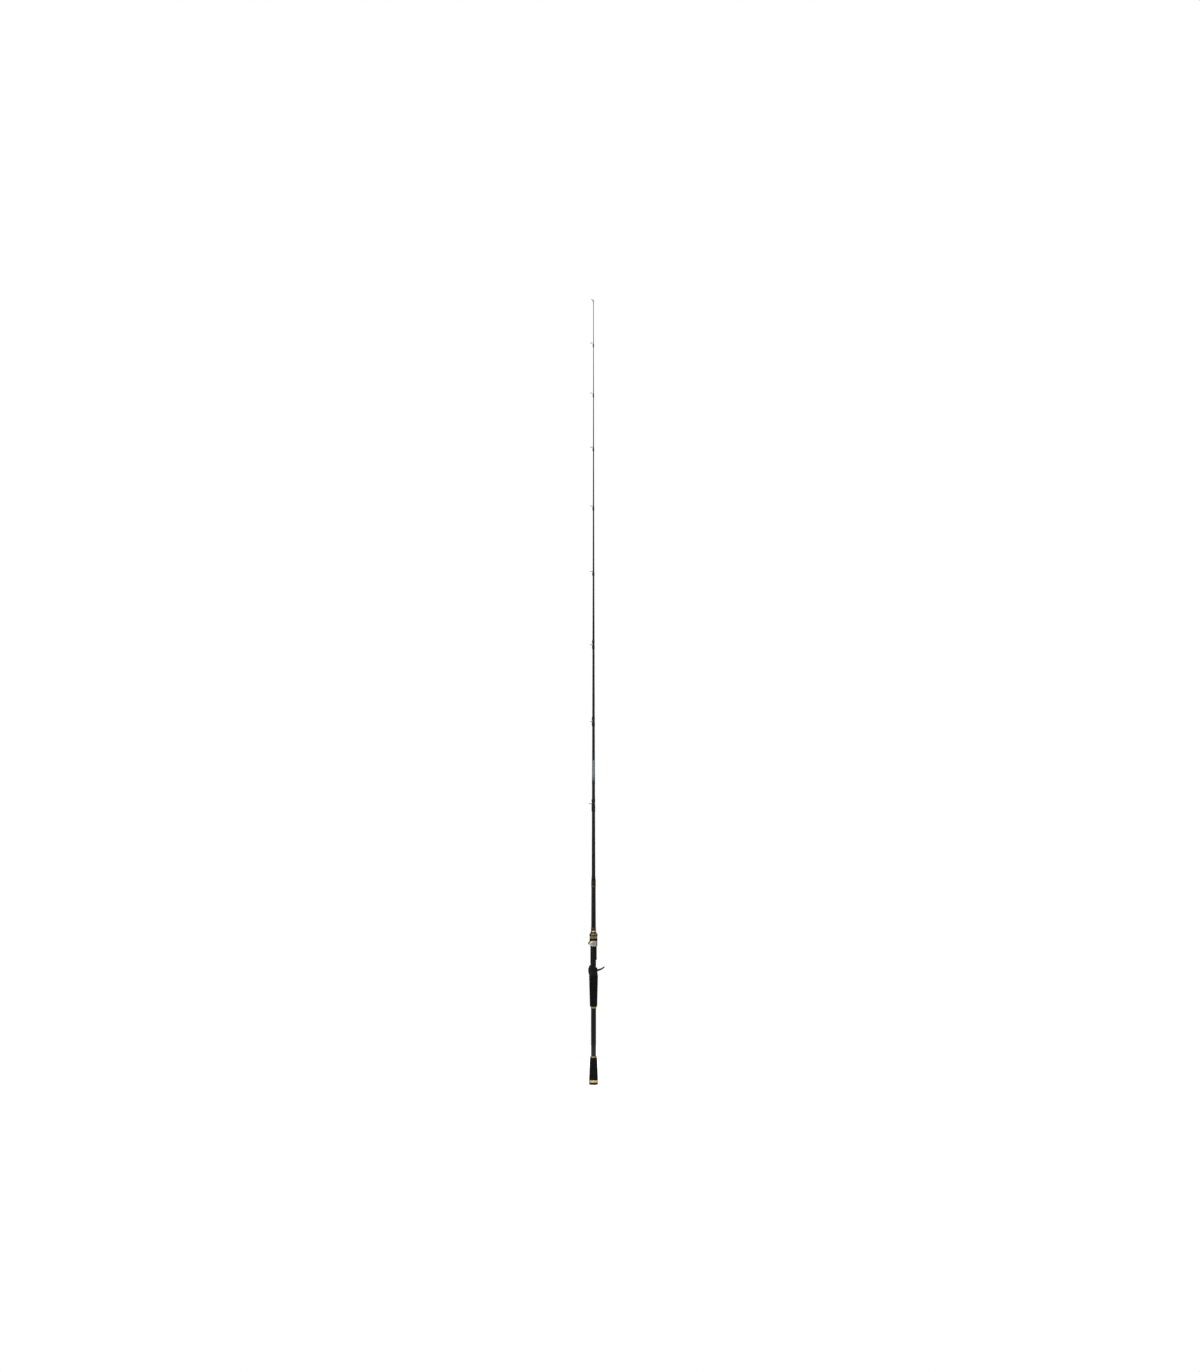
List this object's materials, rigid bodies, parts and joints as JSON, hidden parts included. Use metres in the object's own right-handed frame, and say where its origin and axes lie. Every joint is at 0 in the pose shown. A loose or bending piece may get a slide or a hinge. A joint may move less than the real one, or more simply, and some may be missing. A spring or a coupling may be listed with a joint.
{
  "type": "baitcasting fishing rod",
  "caption": "Two-piece casting rod with a split foam grip, a trigger reel seat, a moving hood and lock nut, line guides and a plug-in tip section.",
  "frame": {"origin": "centre of the flat face at the butt end", "axes": "+Z along the rod from the butt to the tip, -X the side of the reel and the guides, +X the side of the finger trigger"},
  "size_m": [0.0456, 0.0258, 2.134],
  "materials": {
    "carbon_blank": "clear-coated carbon composite",
    "eva_foam": "matt closed-cell foam",
    "cap_rubber": "soft moulded rubber",
    "seat_nylon": "satin glass-filled nylon",
    "liner_nylon": "plain moulded nylon",
    "gold_aluminium": "bright gold anodised",
    "dark_gold": "dark gold anodised",
    "brown_aluminium": "dark brown anodised",
    "hood_metal": "satin silver",
    "guide_steel": "polished stainless steel",
    "ring_ceramic": "polished dark ceramic",
    "thread": "black winding thread under clear epoxy",
    "arbor": "rigid foam shim",
    "label_print": "grey band under clear coat"
  },
  "bodies": {
    "handle": {"butt_cap": "cap_rubber", "butt_cap_ring": "gold_aluminium", "butt_grip": "eva_foam", "butt_grip_check": "dark_gold", "butt_blank": "carbon_blank", "rear_grip_check": "dark_gold", "rear_grip": "eva_foam", "seat_body": "seat_nylon", "fixed_hood_liner": "liner_nylon", "arbor_rear": "arbor", "arbor_front": "arbor", "seat_end_cone": "seat_nylon", "fore_check_ring": "gold_aluminium", "fore_wrap": "thread", "ferrule_wrap": "thread", "ferrule_ring": "brown_aluminium"},
    "moving_hood": {"moving_hood": "hood_metal", "moving_hood_liner": "liner_nylon"},
    "lock_nut": {"nut_core": "seat_nylon", "nut_rear_collar": "brown_aluminium", "nut_gold_band": "gold_aluminium", "nut_grip_ring": "brown_aluminium", "nut_front_ring": "hood_metal"},
    "tip_section": {"tip_blank": "carbon_blank", "tip_stop_wrap": "thread", "label_band": "label_print", "tip_top_frame": "guide_steel", "tip_top_ring": "ring_ceramic", "stripper_guide_frame": "guide_steel", "stripper_guide_ring": "ring_ceramic", "stripper_guide_rear_wrap": "thread", "stripper_guide_front_wrap": "thread", "guide_2_frame": "guide_steel", "guide_2_ring": "ring_ceramic", "guide_2_rear_wrap": "thread", "guide_2_front_wrap": "thread", "guide_3_frame": "guide_steel", "guide_3_ring": "ring_ceramic", "guide_3_rear_wrap": "thread", "guide_3_front_wrap": "thread", "guide_4_frame": "guide_steel", "guide_4_ring": "ring_ceramic", "guide_4_wrap": "thread", "guide_5_frame": "guide_steel", "guide_5_ring": "ring_ceramic", "guide_5_wrap": "thread", "guide_6_frame": "guide_steel", "guide_6_ring": "ring_ceramic", "guide_6_wrap": "thread", "guide_7_frame": "guide_steel", "guide_7_ring": "ring_ceramic", "guide_7_wrap": "thread", "guide_8_frame": "guide_steel", "guide_8_ring": "ring_ceramic", "guide_8_wrap": "thread"}
  },
  "joints": [
    {"name": "hood_slide", "type": "slide", "parent": "handle", "child": "moving_hood", "axis": [0, 0, -1], "range_m": [0, 0.0125]},
    {"name": "nut_turn", "type": "hinge", "parent": "moving_hood", "child": "lock_nut", "pos_m": [0, 0, 0.4], "axis": [0, 0, -1], "range_deg": [0, 1800]},
    {"name": "tip_pull", "type": "slide", "parent": "handle", "child": "tip_section", "axis": [0, 0, 1], "range_m": [0, 0.1]}
  ],
  "couplings": [
    {"joint": "hood_slide", "follows": "nut_turn", "m_per_rad": 0.00039789}
  ]
}
